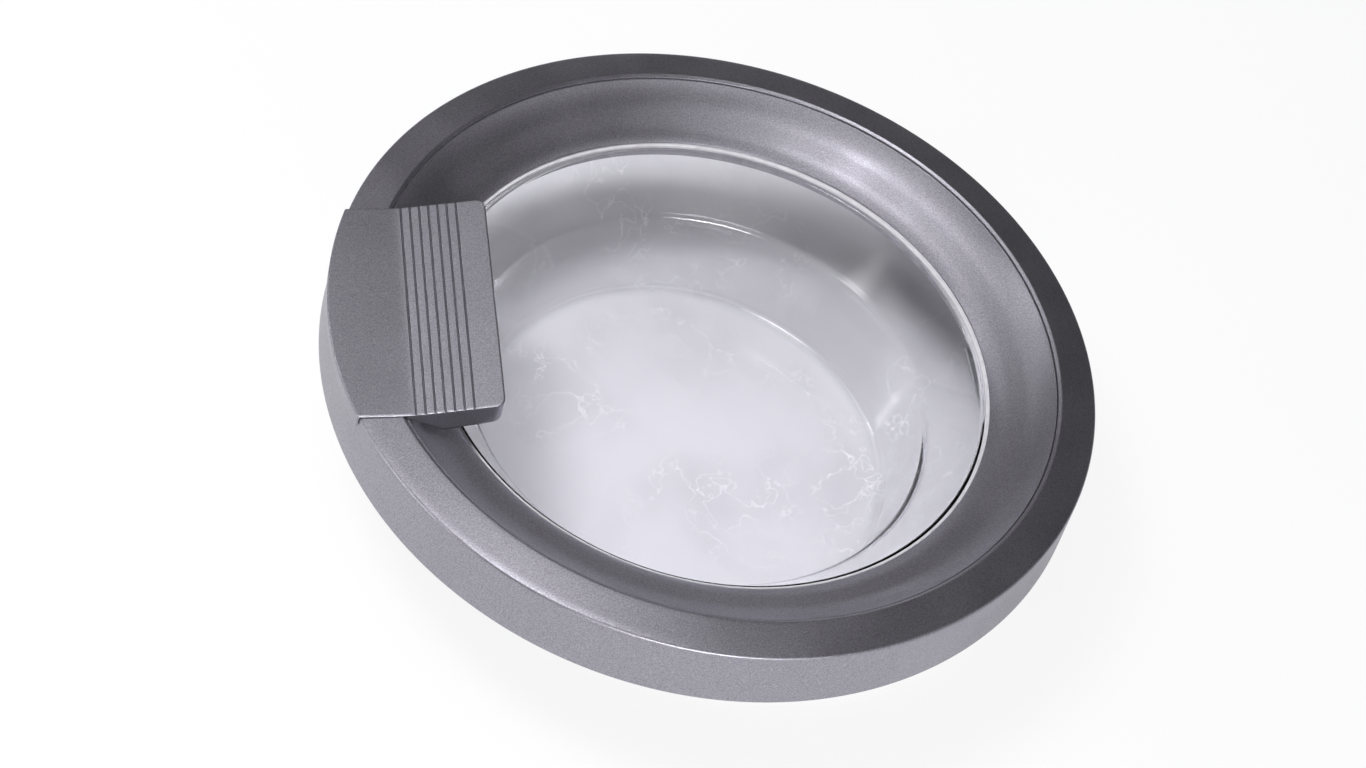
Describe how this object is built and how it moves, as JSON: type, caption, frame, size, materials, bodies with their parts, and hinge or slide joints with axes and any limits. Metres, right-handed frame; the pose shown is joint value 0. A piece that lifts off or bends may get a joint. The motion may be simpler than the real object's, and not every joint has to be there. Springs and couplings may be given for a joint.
{
  "type": "washing machine door",
  "caption": "Round front-loader door with a dished metallic ring, a deep clear glass bowl, a ribbed pull handle on one side, a latch hook and a rear hinge bracket.",
  "frame": {"origin": "centre of the glass bowl's flat outer base, on which the door lies face up", "axes": "+Z out of the door's front face, -X towards the handle, +X towards the hinge, Y along the hinge axis"},
  "size_m": [0.424, 0.424, 0.124],
  "materials": {
    "silver_paint": "satin metallic paint",
    "silver_trim": "satin metallic paint",
    "grey_seal": "matt",
    "clear_glass": "clear, polished",
    "grey_moulding": "matt",
    "silver_handle": "satin metallic paint",
    "pin_steel": "bright",
    "spring_steel": "bright",
    "dark_moulding": "matt",
    "zinc": "die cast zinc alloy",
    "zinc_plated": "zinc plated",
    "nylon": "natural"
  },
  "bodies": {
    "door": {"outer_frame": "silver_paint", "trim_ring": "silver_trim", "glass_seal": "grey_seal", "glass_bowl": "clear_glass", "rear_frame": "grey_moulding", "handle_pin": "pin_steel", "hook_pin": "pin_steel", "handle_spring": "spring_steel", "hook_spring": "spring_steel", "latch_housing": "dark_moulding", "hinge_block": "zinc", "hinge_backing_plate": "zinc_plated", "hinge_bush_upper": "nylon", "hinge_bush_lower": "nylon", "frame_screws": "zinc_plated", "latch_housing_screws": "zinc_plated", "hinge_block_screws": "zinc_plated"},
    "handle": {"handle_lever": "silver_handle"},
    "hook": {"latch_hook": "zinc"},
    "bracket": {"hinge_bracket": "zinc_plated", "hinge_pin": "pin_steel", "hinge_pin_clip": "spring_steel"}
  },
  "joints": [
    {"name": "handle_pull", "type": "hinge", "parent": "door", "child": "handle", "pos_m": [-0.2, 0, 0.097], "axis": [0, -1, 0], "range_deg": [0, 12], "stiffness_Nm_per_rad": 0.4, "springref_deg": -17.19},
    {"name": "hook_release", "type": "hinge", "parent": "door", "child": "hook", "pos_m": [-0.186, 0, 0.095], "axis": [0, -1, 0], "range_deg": [0, 16.3]},
    {"name": "door_hinge", "type": "hinge", "parent": "door", "child": "bracket", "pos_m": [0.203, 0, 0.064], "axis": [0, -1, 0], "range_deg": [0, 140]}
  ],
  "couplings": [
    {"joint": "hook_release", "follows": "handle_pull", "ratio": 1.35}
  ]
}
